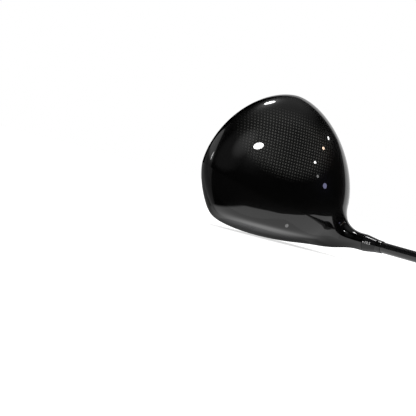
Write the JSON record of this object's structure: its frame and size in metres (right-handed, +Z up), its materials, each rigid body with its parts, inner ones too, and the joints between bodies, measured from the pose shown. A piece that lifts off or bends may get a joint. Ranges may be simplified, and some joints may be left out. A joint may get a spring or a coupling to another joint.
{
  "type": "golf driver",
  "caption": "Right-handed golf driver lying on its face: glossy black hollow head with a woven carbon crown, adjustable hosel sleeve, tapered shaft and rubber grip.",
  "frame": {"origin": "middle of the bounding box on the floor that the club lies on", "axes": "+X along the shaft towards the butt of the grip, +Z up from the floor, which is also from the face to the rear of the head"},
  "size_m": [1.1848, 0.1132, 0.1153],
  "materials": {
    "body": "gloss",
    "face_plate": "satin",
    "crown_panel": "gloss",
    "crown_bond": "matte",
    "hosel_screw_retainer": "matte",
    "hosel_screw_washer": "satin",
    "hosel_screw": "satin",
    "hosel_sleeve": "satin",
    "sleeve_thread_insert": "satin",
    "ferrule": "gloss",
    "shaft": "gloss",
    "shaft_tip_plug": "matte",
    "grip_tape": "matte",
    "grip": "matte",
    "grip_cap": "matte",
    "rear_weight": "satin",
    "rear_weight_screw": "satin",
    "rear_weight_gasket": "matte",
    "front_weight": "satin",
    "front_weight_screw": "satin",
    "front_weight_gasket": "matte"
  },
  "bodies": {
    "head": {"body": "body", "face_plate": "face_plate", "crown_panel": "crown_panel", "crown_bond": "crown_bond", "hosel_screw_retainer": "hosel_screw_retainer", "rear_weight_gasket": "rear_weight_gasket", "front_weight_gasket": "front_weight_gasket"},
    "shaft_assembly": {"hosel_sleeve": "hosel_sleeve", "sleeve_thread_insert": "sleeve_thread_insert", "ferrule": "ferrule", "shaft": "shaft", "shaft_tip_plug": "shaft_tip_plug", "grip_tape": "grip_tape", "grip": "grip", "grip_cap": "grip_cap"},
    "hosel_washer": {"hosel_screw_washer": "hosel_screw_washer"},
    "hosel_bolt": {"hosel_screw": "hosel_screw"},
    "rear_slug": {"rear_weight": "rear_weight"},
    "rear_bolt": {"rear_weight_screw": "rear_weight_screw"},
    "front_slug": {"front_weight": "front_weight"},
    "front_bolt": {"front_weight_screw": "front_weight_screw"}
  },
  "joints": [
    {"name": "shaft_draw", "type": "slide", "parent": "head", "child": "shaft_assembly", "axis": [1, 0, -0.0031], "range_m": [0, 0.04]},
    {"name": "hosel_screw_turn", "type": "hinge", "parent": "hosel_washer", "child": "hosel_bolt", "pos_m": [-0.53862, 0.04279, 0.01725], "axis": [-1, 0, 0.0031], "range_deg": [0, 3960]},
    {"name": "hosel_screw_draw", "type": "slide", "parent": "head", "child": "hosel_washer", "axis": [-1, 0, 0.0031], "range_m": [0, 0.0088]},
    {"name": "rear_weight_turn", "type": "hinge", "parent": "rear_slug", "child": "rear_bolt", "pos_m": [-0.56265, 0.00996, 0.09173], "axis": [-0.7857, 0.4962, 0.3694], "range_deg": [0, 4320]},
    {"name": "rear_weight_draw", "type": "slide", "parent": "head", "child": "rear_slug", "axis": [-0.7857, 0.4962, 0.3694], "range_m": [0, 0.0096]},
    {"name": "front_weight_turn", "type": "hinge", "parent": "front_slug", "child": "front_bolt", "pos_m": [-0.57687, 0.01083, 0.02576], "axis": [-0.8659, 0.4911, -0.0949], "range_deg": [0, 4320]},
    {"name": "front_weight_draw", "type": "slide", "parent": "head", "child": "front_slug", "axis": [-0.8659, 0.4911, -0.0949], "range_m": [0, 0.0096]}
  ],
  "couplings": [
    {"joint": "hosel_screw_turn", "follows": "hosel_screw_draw", "rad_per_m": 7854},
    {"joint": "rear_weight_turn", "follows": "rear_weight_draw", "rad_per_m": 7854},
    {"joint": "front_weight_turn", "follows": "front_weight_draw", "rad_per_m": 7854}
  ]
}
